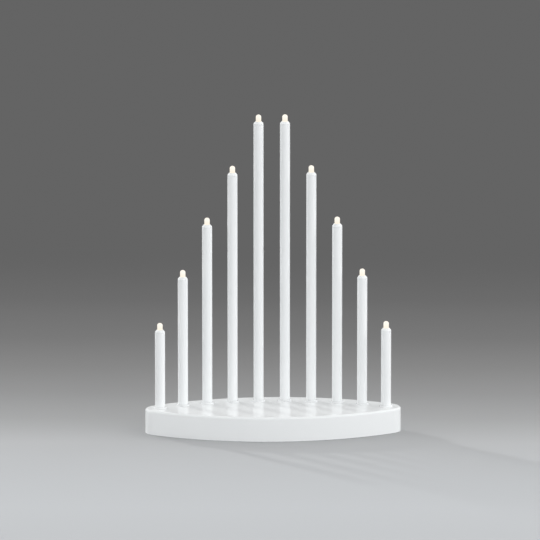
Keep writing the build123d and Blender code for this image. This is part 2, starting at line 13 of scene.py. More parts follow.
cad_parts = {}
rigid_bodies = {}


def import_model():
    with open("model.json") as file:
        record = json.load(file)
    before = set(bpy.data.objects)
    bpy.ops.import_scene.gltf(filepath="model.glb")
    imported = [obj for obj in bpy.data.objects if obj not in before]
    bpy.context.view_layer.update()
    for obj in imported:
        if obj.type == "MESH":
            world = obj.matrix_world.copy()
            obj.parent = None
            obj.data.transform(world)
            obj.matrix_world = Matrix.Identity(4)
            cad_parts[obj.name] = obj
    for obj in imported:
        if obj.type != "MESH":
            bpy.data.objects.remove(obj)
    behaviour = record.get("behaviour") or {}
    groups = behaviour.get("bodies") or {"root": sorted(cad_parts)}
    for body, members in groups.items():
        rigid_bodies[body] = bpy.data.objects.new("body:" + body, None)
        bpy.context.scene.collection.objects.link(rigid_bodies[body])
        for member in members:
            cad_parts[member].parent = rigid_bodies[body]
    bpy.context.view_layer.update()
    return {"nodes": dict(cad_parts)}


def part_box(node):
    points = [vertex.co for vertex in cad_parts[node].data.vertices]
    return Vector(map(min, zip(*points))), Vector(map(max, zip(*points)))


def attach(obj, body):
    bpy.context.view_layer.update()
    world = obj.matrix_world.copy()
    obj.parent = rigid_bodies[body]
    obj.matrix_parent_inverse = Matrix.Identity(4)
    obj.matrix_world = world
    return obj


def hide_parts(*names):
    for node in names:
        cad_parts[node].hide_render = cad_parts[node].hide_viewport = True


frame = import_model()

# Looks of the electric candle arch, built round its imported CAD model. Lengths are in metres, in
# the CAD model's own frame: +X to the right, +Y to the back and +Z up from the floor.

MM = 0.001
SENSOR_WIDTH = 36.0
WELD_DISTANCE = 0.0005 * MM
SCENE = bpy.context.scene
LOG = logging.getLogger("candle_arch")

# The Mix node repeats its socket names for each kind of data, so its colour sockets go by number
MIX_MASK, MIX_FIRST, MIX_SECOND, MIX_RESULT = 0, 6, 7, 2

Colour = Triple = tuple[float, float, float]
Pair = tuple[float, float]
Material = bpy.types.Material
Mesh = bpy.types.Mesh
Node = bpy.types.Node
Socket = bpy.types.NodeSocket
Feed = Mapping[str | int, object]


class Body(Enum):
    """Bodies of the CAD model that pieces ride on."""

    ARCH = "arch"
    DOOR = "battery_door"


class Slot(Enum):
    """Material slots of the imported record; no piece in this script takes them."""

    GLOSS_WHITE = "gloss_white"
    MATTE_WHITE = "matte_white"
    LED_GLOW = "led_glow"
    CELL_SLEEVE = "cell_sleeve"
    CONTACT_STEEL = "contact_steel"
    BLACK_PLASTIC = "black_plastic"
    CAPACITOR_SLEEVE = "capacitor_sleeve"
    WIRE_RED = "wire_red"
    WIRE_WHITE = "wire_white"
    FOOT_RUBBER = "foot_rubber"


def rgba(colour: Colour) -> tuple[float, float, float, float]:
    """The colour with an opaque fourth number."""
    return (*colour, 1.0)


# Node trees


class Graph:
    """A node tree that is being filled."""

    def __init__(self, tree: bpy.types.NodeTree) -> None:
        """Keep the tree."""
        self.tree = tree

    def add(self, kind: str, values: Feed | None = None, **settings: object) -> Node:
        """Add a node.

        Args:
            kind: Blender's name for the node's type, without the ShaderNode that starts it.
            values: what its inputs take.
            **settings: values for the node's own properties.

        Returns:
            The new node.
        """
        node = self.tree.nodes.new(f"ShaderNode{kind}")
        for name, value in settings.items():
            setattr(node, name, value)
        self.feed(node, values or {})
        return node

    def feed(self, node: Node, values: Feed) -> None:
        """Give a node's inputs what they take.

        Args:
            node: the node.
            values: by each input's name or number, its value or the output that carries it.
        """
        for key, value in values.items():
            if isinstance(value, Socket):
                self.tree.links.new(value, node.inputs[key])
            else:
                node.inputs[key].default_value = value

    def worked(self, operation: str, *values: Socket | float) -> Socket:
        """Work out a value from numbers and outputs, by Blender's name for the operation."""
        return self.add("Math", dict(enumerate(values)), operation=operation).outputs["Value"]

    def scaled(self, source: Socket, low: Socket | float, high: Socket | float) -> Socket:
        """Bring a value from 0..1 to the range from low to high."""
        return self.add("MapRange", {"Value": source, "To Min": low, "To Max": high}).outputs["Result"]

    def blended(self, mask: Socket, first: Socket | Colour, second: Socket | Colour) -> Socket:
        """Blend two colours by a mask.

        Args:
            mask: 0 where the first colour shows and 1 where the second does.
            first: a colour, or the output that carries it.
            second: a colour, or the output that carries it.

        Returns:
            The output that carries the blend.
        """
        values = {MIX_MASK: mask}
        for key, value in ((MIX_FIRST, first), (MIX_SECOND, second)):
            values[key] = value if isinstance(value, Socket) else rgba(value)
        return self.add("Mix", values, data_type="RGBA").outputs[MIX_RESULT]


class SkinGroup:
    """Node group for the skin of a moulding: faint mottling and a fine texture."""

    NAME = "moulded_skin"
    MOTTLING_SCALE = 34.0
    SOCKETS = (
        ("INPUT", "Color", ("Colour", "Shade")),
        ("INPUT", "Float", ("Texture Scale", "Roughness Low", "Roughness High")),
        ("OUTPUT", "Color", ("Colour",)),
        ("OUTPUT", "Float", ("Roughness", "Height")),
    )

    @classmethod
    def tree(cls) -> bpy.types.NodeTree:
        """The group's node tree, built at its first use."""
        found = bpy.data.node_groups.get(cls.NAME)
        if found is not None:
            return found
        tree = bpy.data.node_groups.new(cls.NAME, "ShaderNodeTree")
        for side, kind, names in cls.SOCKETS:
            for name in names:
                tree.interface.new_socket(name=name, in_out=side, socket_type=f"NodeSocket{kind}")
        graph = Graph(tree)
        given = tree.nodes.new("NodeGroupInput").outputs
        place = graph.add("TexCoord").outputs["Object"]
        cloud = graph.add("TexNoise", {"Scale": cls.MOTTLING_SCALE, "Detail": 4.0, "Vector": place})
        fine = graph.add("TexNoise", {"Scale": given["Texture Scale"], "Detail": 3.0, "Vector": place})
        texture = fine.outputs["Fac"]
        made = {
            "Colour": graph.blended(cloud.outputs["Fac"], given["Colour"], given["Shade"]),
            "Roughness": graph.scaled(texture, given["Roughness Low"], given["Roughness High"]),
            "Height": texture,
        }
        graph.feed(tree.nodes.new("NodeGroupOutput"), made)
        return tree


# Finishes


def new_material(name: str) -> tuple[Material, Graph, Node]:
    """Start a material.

    Args:
        name: the material's name.

    Returns:
        The material, its graph and its Principled BSDF.
    """
    material = bpy.data.materials.new(name)
    material.use_nodes = True
    graph = Graph(material.node_tree)
    return material, graph, material.node_tree.nodes["Principled BSDF"]


@dataclass(frozen=True)
class Moulding:
    """Finish of a moulded or coated piece, made with the skin group."""

    name: str
    colour: Colour
    shade: Colour
    texture_scale: float
    roughness: Pair
    bump_height: float
    specular: float = 0.5
    coat: float = 0.0

    @cache
    def material(self) -> Material:
        """The finish as a material, made at its first use."""
        material, graph, shader = new_material(self.name)
        low, high = self.roughness
        values = {
            "Colour": rgba(self.colour),
            "Shade": rgba(self.shade),
            "Texture Scale": self.texture_scale,
            "Roughness Low": low,
            "Roughness High": high,
        }
        skin = graph.add("Group", values, node_tree=SkinGroup.tree()).outputs
        bump = graph.add("Bump", {"Distance": self.bump_height, "Height": skin["Height"]})
        look = {
            "Base Color": skin["Colour"],
            "Roughness": skin["Roughness"],
            "Normal": bump.outputs["Normal"],
            "Specular IOR Level": self.specular,
            "Coat Weight": self.coat,
            "Coat Roughness": low,
        }
        graph.feed(shader, look)
        return material


@dataclass(frozen=True)
class Plating:
    """Finish of a plated or brushed metal piece."""

    name: str
    colour: Colour
    shade: Colour
    roughness: Pair
    brush_scale: Triple
    bump_strength: float = 0.3
    bump_height: float = 0.02 * MM

    @cache
    def material(self) -> Material:
        """The finish as a material, made at its first use."""
        material, graph, shader = new_material(self.name)
        place = graph.add("TexCoord").outputs["Object"]
        mapping = graph.add("Mapping", {"Scale": self.brush_scale, "Vector": place})
        brush = graph.add("TexNoise", {"Detail": 5.0, "Vector": mapping.outputs["Vector"]})
        mask = brush.outputs["Fac"]
        strokes = {"Strength": self.bump_strength, "Distance": self.bump_height, "Height": mask}
        look = {
            "Base Color": graph.blended(mask, self.colour, self.shade),
            "Roughness": graph.scaled(mask, *self.roughness),
            "Normal": graph.add("Bump", strokes).outputs["Normal"],
            "Metallic": 1.0,
        }
        graph.feed(shader, look)
        return material


@dataclass(frozen=True)
class LampLens:
    """Finish of a lit LED: whiter at its upper end, warmer where the light comes up from."""

    name: str
    lens: Colour
    warm: Colour
    white: Colour
    strength: float
    stand: float
    roughness: float

    def material(self, tip_height: float) -> Material:
        """The finish as a material.

        Args:
            tip_height: height at which this LED comes out of its holder.

        Returns:
            The material, with its light graded up from that height.
        """
        material, graph, shader = new_material(f"{self.name}_{tip_height / MM:.0f}")
        split = graph.add("SeparateXYZ", {"Vector": graph.add("TexCoord").outputs["Object"]})
        span = {"From Min": tip_height, "From Max": tip_height + self.stand, "Value": split.outputs["Z"]}
        rise = graph.add("MapRange", span, interpolation_type="SMOOTHSTEP").outputs["Result"]
        look = {
            "Base Color": rgba(self.lens),
            "Roughness": self.roughness,
            "Emission Color": graph.blended(rise, self.warm, self.white),
            "Emission Strength": self.strength,
        }
        graph.feed(shader, look)
        return material


# Mouldings: name, colour, shade, texture scale, range of roughness and height of the bumps
GLOSS_WHITE = Moulding(
    "gloss_white_moulding", (0.835, 0.852, 0.858), (0.815, 0.833, 0.84), 900.0, (0.14, 0.18), 0.003 * MM
)
TUBE_WHITE = Moulding(
    "gloss_white_tube", (0.876, 0.893, 0.9), (0.862, 0.88, 0.888), 900.0, (0.12, 0.16), 0.002 * MM
)
SATIN_WHITE = Moulding(
    "satin_white_moulding", (0.8, 0.81, 0.81), (0.77, 0.78, 0.78), 2600.0, (0.5, 0.62), 0.03 * MM
)
SWITCH_GREY = Moulding(
    "switch_grey_moulding", (0.1, 0.1, 0.105), (0.07, 0.07, 0.075), 2400.0, (0.42, 0.55), 0.02 * MM
)
BLACK_MOULDING = Moulding(
    "black_component_moulding", (0.028, 0.028, 0.03), (0.018, 0.018, 0.02), 3000.0, (0.5, 0.65), 0.02 * MM
)
FOOT_RUBBER = Moulding(
    "foot_rubber", (0.1, 0.1, 0.1), (0.065, 0.065, 0.065), 1700.0, (0.75, 0.9), 0.05 * MM, specular=0.3
)
CELL_SLEEVE = Moulding(
    "cell_sleeve_film", (0.13, 0.17, 0.23), (0.1, 0.13, 0.19), 500.0, (0.22, 0.3), 0.01 * MM, coat=0.4
)
CELL_BAND = Moulding(
    "cell_band_film", (0.62, 0.6, 0.55), (0.56, 0.54, 0.49), 500.0, (0.22, 0.3), 0.01 * MM, coat=0.4
)
CAPACITOR_SLEEVE = Moulding(
    "capacitor_sleeve_film", (0.04, 0.05, 0.15), (0.03, 0.035, 0.11), 800.0, (0.28, 0.36), 0.01 * MM
)
GREEN_LACQUER = Moulding(
    "green_board_lacquer", (0.03, 0.19, 0.08), (0.02, 0.14, 0.06), 700.0, (0.3, 0.42), 0.02 * MM
)
WHITE_LACQUER = Moulding(
    "white_board_lacquer", (0.76, 0.76, 0.74), (0.7, 0.7, 0.67), 700.0, (0.35, 0.48), 0.02 * MM
)
TERMINAL_NYLON = Moulding(
    "terminal_nylon", (0.74, 0.72, 0.64), (0.68, 0.66, 0.58), 1500.0, (0.45, 0.58), 0.02 * MM
)
RED_JACKET = Moulding(
    "red_wire_jacket", (0.5, 0.03, 0.025), (0.42, 0.025, 0.02), 1600.0, (0.38, 0.5), 0.01 * MM
)
WHITE_JACKET = Moulding(
    "white_wire_jacket", (0.76, 0.76, 0.75), (0.7, 0.7, 0.69), 1600.0, (0.38, 0.5), 0.01 * MM
)
# Platings: name, colour, shade, range of roughness and scale of the brushing
CONTACT_STEEL = Plating(
    "nickel_plated_contact", (0.72, 0.7, 0.65), (0.6, 0.58, 0.53), (0.22, 0.36), (300.0, 2200.0, 300.0)
)
CELL_STEEL = Plating(
    "nickel_plated_cell_can", (0.66, 0.65, 0.62), (0.55, 0.54, 0.5), (0.25, 0.4), (2200.0, 300.0, 300.0)
)
TINNED_METAL = Plating(
    "tinned_metal", (0.7, 0.7, 0.7), (0.58, 0.58, 0.57), (0.3, 0.45), (900.0, 900.0, 900.0)
)
WARM_LENS = LampLens(
    "warm_white_led",
    lens=(0.12, 0.11, 0.09),
    warm=(0.88, 0.81, 0.69),
    white=(0.93, 0.87, 0.79),
    strength=1.0,
    stand=4.5 * MM,
    roughness=0.12,
)


def finish_node(node: str, finish: Moulding | Plating) -> None:
    """Give a CAD node its finish in place of its plain one."""
    for place in frame["nodes"][node].material_slots:
        place.material = finish.material()


# Mesh building


def place_piece(
    mesh: Mesh,
    name: str,
    material: Material,
    body: Body = Body.ARCH,
    sharp_angle: float = 38.0,
) -> bpy.types.Object:
    """Put a finished mesh in the scene as a piece of the object.

    Args:
        mesh: the mesh, already in the CAD model's frame.
        name: the piece's name.
        material: its material.
        body: the CAD body that it rides on.
        sharp_angle: angle in degrees past which an edge is shaded sharp.

    Returns:
        The piece's object.
    """
    mesh.name = name
    mesh.shade_smooth()
    mesh.set_sharp_from_angle(angle=radians(sharp_angle))
    mesh.materials.clear()
    mesh.materials.append(material)
    piece = bpy.data.objects.new(name, mesh)
    SCENE.collection.objects.link(piece)
    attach(piece, body.value)
    return piece


def rounded_profile(
    points: Sequence[Pair], radii: Sequence[float], steps: int = 5
) -> list[Pair]:
    """Round the inner corners of an open profile.

    Args:
        points: the profile's corners.
        radii: a radius for each corner; 0 keeps a corner sharp. The two ends stay as they are.
        steps: how many runs each rounding gets.

    Returns:
        The profile with its roundings.
    """
    made = [points[0]]
    for before, corner, after, radius in zip(points, points[1:], points[2:], radii[1:]):
        if not radius:
            made.append(corner)
            continue
        back, ahead = Vector(before) - Vector(corner), Vector(after) - Vector(corner)
        half = back.angle(ahead) / 2
        first, second = back.normalized(), ahead.normalized()
        reach = radius / tan(half)
        start, end = Vector(corner) + first * reach, Vector(corner) + second * reach
        middle = Vector(corner) + (first + second).normalized() * (radius / sin(half))
        turn = pi - 2 * half
        for step in range(steps + 1):
            share = step / steps
            weight_start = sin((1 - share) * turn) / sin(turn)
            weight_end = sin(share * turn) / sin(turn)
            point = middle + (start - middle) * weight_start + (end - middle) * weight_end
            made.append((point.x, point.y))
    made.append(points[-1])
    return made


def joined_mesh(name: str, vertices: Sequence[Vector], faces: Sequence[tuple[int, ...]]) -> Mesh:
    """Make a mesh and join its points where they meet.

    Args:
        name: the mesh's name.
        vertices: its points.
        faces: its faces, as rows of point numbers.

    Returns:
        The mesh, closed where its faces meet.
    """
    mesh = bpy.data.meshes.new(name)
    mesh.from_pydata([tuple(point) for point in vertices], [], faces)
    made = bmesh.new()
    made.from_mesh(mesh)
    bmesh.ops.remove_doubles(made, verts=made.verts[:], dist=WELD_DISTANCE)
    bmesh.ops.dissolve_degenerate(made, edges=made.edges[:], dist=WELD_DISTANCE)
    made.to_mesh(mesh)
    made.free()
    mesh.validate()
    return mesh


def turned_mesh(
    profiles: Sequence[tuple[Sequence[Pair], Matrix]], segments: int = 64
) -> Mesh:
    """Turn profiles about their own axes into one mesh.

    Args:
        profiles: each profile as (radius, height) points, with the matrix that places it. A point
            of no radius closes the surface with one vertex.
        segments: how many sides a full turn has.

    Returns:
        The mesh.
    """
    vertices: list[Vector] = []
    faces: list[tuple[int, ...]] = []
    for profile, matrix in profiles:
        rings: list[list[int]] = []
        for radius, height in profile:
            start = len(vertices)
            sides = segments if radius > 0 else 1
            for step in range(sides):
                angle = tau * step / segments
                vertices.append(matrix @ Vector((radius * cos(angle), radius * sin(angle), height)))
            rings.append(list(range(start, start + sides)))
        for lower, upper in zip(rings, rings[1:]):
            for step in range(segments):
                after = (step + 1) % segments
                if len(lower) == 1:
                    faces.append((lower[0], upper[after], upper[step]))
                elif len(upper) == 1:
                    faces.append((lower[step], lower[after], upper[0]))
                else:
                    faces.append((lower[step], lower[after], upper[after], upper[step]))
    return joined_mesh("turned", vertices, faces)


def swept_mesh(
    routes: Sequence[tuple[Sequence[Vector], float]], resolution: int = 5, steps: int = 10
) -> Mesh:
    """Sweep round wires along smooth lines into one mesh.

    Args:
        routes: for each wire, the control points of its line and its radius.
        resolution: how finely its section is rounded.
        steps: how many runs there are from one control point to the next.

    Returns:
        The mesh.
    """
    made = bmesh.new()
    for points, radius in routes:
        curve = bpy.data.curves.new("route", "CURVE")
        curve.dimensions = "3D"
        curve.bevel_depth = radius
        curve.bevel_resolution = resolution
        curve.use_fill_caps = True
        spline = curve.splines.new("NURBS")
        spline.points.add(len(points) - 1)
        for control, point in zip(spline.points, points):
            control.co = (*point, 1.0)
        spline.order_u = 3
        spline.use_endpoint_u = True
        spline.resolution_u = steps
        holder = bpy.data.objects.new("route", curve)
        SCENE.collection.objects.link(holder)
        part = bpy.data.meshes.new_from_object(
            holder.evaluated_get(bpy.context.evaluated_depsgraph_get())
        )
        made.from_mesh(part)
        bpy.data.objects.remove(holder)
        bpy.data.curves.remove(curve)
        bpy.data.meshes.remove(part)
    mesh = bpy.data.meshes.new("swept")
    made.to_mesh(mesh)
    made.free()
    return mesh


@dataclass(frozen=True)
class Slab:
    """A block with rounded corners in plan and rounded lower and upper edges."""

    middle: Pair
    size: Pair
    bottom: float
    top: float
    corner: float
    edge: float
    turn: float = 0.0

    def ring(self, inset: float, height: float, steps: int) -> list[Vector]:
        """One level line round the block.

        Args:
            inset: how far it lies inside the block's outline.
            height: its height.
            steps: how many runs each corner gets.

        Returns:
            Its points, anticlockwise from above.
        """
        points = []
        corner = self.corner - inset
        for quarter, (side_x, side_y) in enumerate(((1, 1), (-1, 1), (-1, -1), (1, -1))):
            x = side_x * (self.size[0] / 2 - inset - corner)
            y = side_y * (self.size[1] / 2 - inset - corner)
            for step in range(steps + 1):
                angle = (quarter + step / steps) * pi / 2
                points.append(Vector((x + corner * cos(angle), y + corner * sin(angle), height)))
        matrix = Matrix.Translation((*self.middle, 0)) @ Matrix.Rotation(self.turn, 4, "Z")
        return [matrix @ point for point in points]

    def rings(self, steps: int) -> list[list[Vector]]:
        """All the block's level lines, from its underside up.

        Args:
            steps: how many runs each rounding gets.

        Returns:
            The lines.
        """
        low, high = [], []
        for step in range(steps + 1):
            angle = step / steps * pi / 2
            inset, lift = self.edge * (1 - sin(angle)), self.edge * (1 - cos(angle))
            low.append(self.ring(inset, self.bottom + lift, 2 * steps))
            high.append(self.ring(inset, self.top - lift, 2 * steps))
        return low + high[::-1]


def slab_mesh(slabs: Sequence[Slab], steps: int = 3) -> Mesh:
    """Build blocks into one mesh.

    Args:
        slabs: the blocks.
        steps: how many runs each rounded edge gets.

    Returns:
        The mesh.
    """
    vertices: list[Vector] = []
    faces: list[tuple[int, ...]] = []
    for slab in slabs:
        rings = slab.rings(steps)
        count = len(rings[0])
        first = len(vertices)
        for ring in rings:
            vertices.extend(ring)
        for level in range(len(rings) - 1):
            start = first + level * count
            for step in range(count):
                after = (step + 1) % count
                faces.append((start + step, start + after, start + count + after, start + count + step))
        faces.append(tuple(range(first + count - 1, first - 1, -1)))
        last = first + (len(rings) - 1) * count
        faces.append(tuple(range(last, last + count)))
    return joined_mesh("slabs", vertices, faces)


def upright_at(x: float, y: float, z: float = 0.0) -> Matrix:
    """Matrix that moves an upright piece to its place."""
    return Matrix.Translation((x, y, z))


def along_x(x: float, y: float, z: float, side: int) -> Matrix:
    """Matrix that lays a turned piece along X, its height pointing to +X for side 1, to -X for -1."""
    return upright_at(x, y, z) @ Matrix.Rotation(side * pi / 2, 4, "Y")


# Sub-assemblies


@dataclass
class CandleRow:
    """The ten candles: tube, tip holder, LED and its lead, each in its collar on the base."""

    count: int = 10
    tube_sides: int = 96
    bore_radius: float = 2.55 * MM
    seam_width: float = 0.22 * MM
    seam_depth: float = 0.2 * MM
    holder_band: float = 1.1 * MM
    holder_height: float = 1.9 * MM
    holder_top_radius: float = 3.2 * MM
    holder_roundings: tuple[float, ...] = (0, 0, 0.1 * MM, 0.9 * MM, 0.35 * MM, 0.12 * MM)
    collar_sides: int = 80
    collar_radius: float = 6.2 * MM
    collar_proud: float = 0.15 * MM
    collar_sunk: float = 1.4 * MM
    collar_gap: float = 0.05 * MM
    collar_roundings: tuple[float, ...] = (0, 0.5 * MM, 0.15 * MM)
    lens_sides: int = 64
    lens_radius: float = 2.5 * MM
    lens_roundings: tuple[float, ...] = (0, 0.15 * MM, 2.1 * MM)
    lens_rounding_steps: int = 7
    lens_sharp_angle: float = 60.0
    lens_crown: float = 0.9 * MM
    lens_stand: float = 6.6 * MM
    lens_sunk: float = 3.0 * MM
    lead_radius: float = 0.6 * MM
    row_centre_y: float = -172.67 * MM

    def axis(self, number: int) -> Pair:
        """Place in plan of a candle's axis, by the candle's number from 1 at the left."""
        low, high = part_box(f"candle_tube_{number:02d}")
        return (low.x + high.x) / 2, (low.y + high.y) / 2

    def tube(self, number: int) -> None:
        """Build a candle's tube and its tip holder, with the seam between them.

        Args:
            number: the candle's number.
        """
        node = f"candle_tube_{number:02d}"
        low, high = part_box(node)
        place = upright_at(*self.axis(number))
        inner, outer, tip = self.bore_radius, (high.x - low.x) / 2, high.z
        seam = tip - self.holder_height - self.holder_band
        joint = seam + self.seam_width / 2
        floor = outer - self.seam_depth
        edge = self.seam_depth / 2
        tube = rounded_profile(
            [(inner, low.z), (outer, low.z), (outer, seam), (floor, joint), (inner, joint), (inner, low.z)],
            [0, edge, edge, 0, 0],
        )
        mesh = turned_mesh([(tube, place)], self.tube_sides)
        sleeve = place_piece(mesh, f"tube_sleeve_{number:02d}", TUBE_WHITE.material())
        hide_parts(node)
        neck = outer - edge / 2
        foot = [(inner, joint), (floor, joint), (neck, seam + self.seam_width)]
        lip = [(neck, tip - self.holder_height), (self.holder_top_radius, tip), (inner, tip), (inner, joint)]
        holder = rounded_profile(foot + lip, self.holder_roundings)
        mesh = turned_mesh([(holder, place)], self.tube_sides)
        place_piece(mesh, f"tip_holder_{number:02d}", TUBE_WHITE.material())

    def lens(self, number: int) -> None:
        """Build a candle's LED with its twin lead.

        Args:
            number: the candle's number.
        """
        node = f"led_{number:02d}"
        low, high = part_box(node)
        x, y = self.axis(number)
        top = high.z
        bottom = top - self.lens_stand - self.lens_sunk
        profile = rounded_profile(
            [(0, bottom), (self.lens_radius, bottom), (self.lens_radius, top - self.lens_crown), (0, top)],
            self.lens_roundings,
            self.lens_rounding_steps,
        )
        lens = place_piece(
            turned_mesh([(profile, upright_at(x, y))], self.lens_sides),
            f"led_lens_{number:02d}",
            WARM_LENS.material(top - self.lens_stand),
            sharp_angle=self.lens_sharp_angle,
        )
        angle = atan2(x, y - self.row_centre_y)
        across = Vector((cos(angle), -sin(angle), 0)) * self.lead_radius
        heights = (low.z, (low.z + bottom) / 2, bottom)
        routes = [
            ([Vector((x, y, height)) + across * side for height in heights], self.lead_radius)
            for side in (-1, 1)
        ]
        leads = swept_mesh(routes, 3)
        place_piece(leads, f"led_lead_{number:02d}", WHITE_JACKET.material())
        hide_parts(node)

    def collar(self, number: int) -> None:
        """Round the edges of a collar that is moulded on the base.

        Args:
            number: the candle's number.
        """
        low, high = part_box(f"candle_tube_{number:02d}")
        shell_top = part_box("base_shell")[1].z
        foot, top = shell_top - self.collar_sunk, shell_top + self.collar_proud
        inner = (high.x - low.x) / 2 + self.collar_gap
        profile = rounded_profile(
            [(self.collar_radius, foot), (self.collar_radius, top), (inner, top), (inner, foot)],
            self.collar_roundings,
        )
        mesh = turned_mesh([(profile, upright_at(*self.axis(number)))], self.collar_sides)
        place_piece(mesh, f"collar_{number:02d}", GLOSS_WHITE.material())

    def build(self) -> None:
        """Build the whole row."""
        numbers = range(1, self.count + 1)
        for number in numbers:
            self.tube(number)
            self.lens(number)
        for number in numbers:
            self.collar(number)
        LOG.info("candle row: %d tubes, holders, lamps and collars", self.count)


@dataclass
class Housing:
    """The base shell, its underside plate, the battery door's grip and the stick-on pads."""

    pad_size: Pair = (16 * MM, 6 * MM)
    pad_corner: float = 2.2 * MM
    pad_edge: float = 0.35 * MM
    pad_place: Pair = (77.284 * MM, 21.785 * MM)
    pad_turn: float = 23.7
    grip_rows: tuple[float, ...] = (-33.6 * MM, -32.4 * MM, -31.2 * MM)
    grip_size: Pair = (6.5 * MM, 0.5 * MM)
    grip_corner: float = 0.24 * MM
    grip_edge: float = 0.12 * MM
    grip_proud: float = 0.25 * MM
    grip_sunk: float = 0.2 * MM

    def pads(self) -> None:
        """Build the four rounded pads that the base stands on."""
        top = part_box("rubber_feet")[1].z
        x, y = self.pad_place
        slabs = []
        for side_x in (-1, 1):
            for side_y in (-1, 1):
                middle = (side_x * x, side_y * y)
                turn = radians(-side_x * side_y * self.pad_turn)
                slabs.append(Slab(middle, self.pad_size, 0.0, top, self.pad_corner, self.pad_edge, turn))
        pads = place_piece(slab_mesh(slabs, 4), "foot_pads", FOOT_RUBBER.material())
        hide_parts("rubber_feet")

    def grip(self) -> None:
        """Build the small ribs that a finger pulls the battery door by."""
        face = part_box("battery_door")[0].z
        low, high = face - self.grip_proud, face + self.grip_sunk
        slabs = [
            Slab((0, row), self.grip_size, low, high, self.grip_corner, self.grip_edge)
            for row in self.grip_rows
        ]
        satin = SATIN_WHITE.material()
        place_piece(slab_mesh(slabs), "door_grip_ribs", satin, Body.DOOR)

    def build(self) -> None:
        """Build and dress the housing."""
        finish_node("base_shell", GLOSS_WHITE)
        finish_node("base_plate", SATIN_WHITE)
        finish_node("battery_door", SATIN_WHITE)
        self.pads()
        self.grip()
        LOG.info("housing: shell, plate, door with its grip, and four pads")


@dataclass
class BatteryBay:
    """Three AA cells, lying side by side, and the conical springs behind them."""

    rows: tuple[float, ...] = (-24.5 * MM, -9.5 * MM, 5.5 * MM)
    nub_sides: tuple[int, ...] = (-1, 1, -1)
    axis_z: float = 10.45 * MM
    cell_sides: int = 72
    nub_x: float = 27.5 * MM
    length: float = 50.5 * MM
    radius: float = 7.25 * MM
    nub_height: float = 1.2 * MM
    nub_radius: float = 2.75 * MM
    can_foot: tuple[Pair, ...] = ((0, 0.1 * MM), (5.2 * MM, 0.1 * MM), (5.5 * MM, 0.45 * MM))
    groove_radii: Pair = (4.6 * MM, 4.0 * MM)
    groove_depth: float = 0.25 * MM
    can_roundings: tuple[float, ...] = (0, 0.15, 0.15, 0.4, 0.4, 0.2, 0.2, 0.3, 0.6)
    film: float = 0.12 * MM
    film_fold: float = 1.3 * MM
    film_bevel: float = 0.3 * MM
    film_rounding: float = 0.4 * MM
    band_width: float = 11.0 * MM
    lip: float = 0.5 * MM
    spring_seat: float = 27.95 * MM
    spring_length: float = 4.9 * MM
    spring_radii: Pair = (4.2 * MM, 2.5 * MM)
    spring_wire: float = 0.35 * MM
    spring_turns: int = 4
    closed_turns: float = 0.6
    turn_points: int = 16

    def cells(self) -> None:
        """Build the cells: metal can with its nub, and the printed film in two tones."""
        shoulder = self.length - self.nub_height
        can_radius = self.radius - self.film
        groove = shoulder - self.groove_depth
        outer, inner = self.groove_radii
        foot = [*self.can_foot, (can_radius, self.can_foot[-1][1])]
        neck = [(can_radius, groove), (outer, groove), (inner, shoulder), (self.nub_radius, shoulder)]
        nub = [(self.nub_radius, self.length), (0, self.length)]
        can = rounded_profile(foot + neck + nub, [rounding * MM for rounding in self.can_roundings])
        seam = shoulder - self.band_width
        film = self.film_profile(self.lip, seam, (True, False))
        band = self.film_profile(seam, shoulder, (False, True))
        places = [
            along_x(side * (self.nub_x - self.length), row, self.axis_z, side)
            for row, side in zip(self.rows, self.nub_sides)
        ]
        cans, films, bands = (
            turned_mesh([(profile, place) for place in places], self.cell_sides)
            for profile in (can, film, band)
        )
        cells = place_piece(cans, "cell_cans", CELL_STEEL.material())
        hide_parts("battery_cells")
        place_piece(films, "cell_films", CELL_SLEEVE.material())
        place_piece(bands, "cell_bands", CELL_BAND.material())

    def film_profile(self, start: float, end: float, folded: tuple[bool, bool]) -> list[Pair]:
        """Section of a length of film, which folds over the end of the can.

        Args:
            start: height at which it starts.
            end: height at which it ends.
            folded: whether it folds inwards at its start and at its end.

        Returns:
            The section's points, closed.
        """
        inner, fold = self.radius - self.film, self.radius - self.film_fold
        if folded[0]:
            start -= self.lip / 2
        points = [(fold if folded[0] else inner, start), (self.radius, start)]
        points += [(self.radius, end), (fold if folded[1] else inner, end)]
        if folded[1]:
            points += [(fold, end - self.film), (inner, end - self.film - self.film_bevel)]
        if folded[0]:
            points += [(inner, start + self.film + self.film_bevel), (fold, start + self.film)]
        points.append(points[0])
        roundings = [0, *(self.film_rounding * fold_here for fold_here in folded)]
        return rounded_profile(points, roundings + [0] * (len(points) - 4))

    def springs(self) -> None:
        """Wind the conical springs of round wire, with closed ends."""
        routes = []
        first, last = self.spring_radii
        count = self.spring_turns * self.turn_points
        travel = self.spring_length - 2 * self.spring_wire
        open_turns = self.spring_turns - 2 * self.closed_turns
        for row, nub_side in zip(self.rows, self.nub_sides):
            side = -nub_side
            points = []
            for step in range(count + 1):
                share = step / count
                turns = share * self.spring_turns
                rise = min(max((turns - self.closed_turns) / open_turns, 0.0), 1.0)
                radius = first + (last - first) * share
                angle = side * tau * turns
                x = side * (self.spring_seat - (self.spring_wire + travel * rise))
                points.append(Vector((x, row + radius * cos(angle), self.axis_z + radius * sin(angle))))
            routes.append((points, self.spring_wire))
        mesh = swept_mesh(routes, 3, 3)
        coils = place_piece(mesh, "contact_coils", CONTACT_STEEL.material())
        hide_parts("contact_springs")

    def build(self) -> None:
        """Build the cells and springs, and dress the contact plates."""
        self.cells()
        self.springs()
        for node in ("contact_positive", "contact_negative", "contact_bridge_left", "contact_bridge_right"):
            finish_node(node, CONTACT_STEEL)
        LOG.info("battery bay: %d cells, their springs and contact plates", len(self.rows))


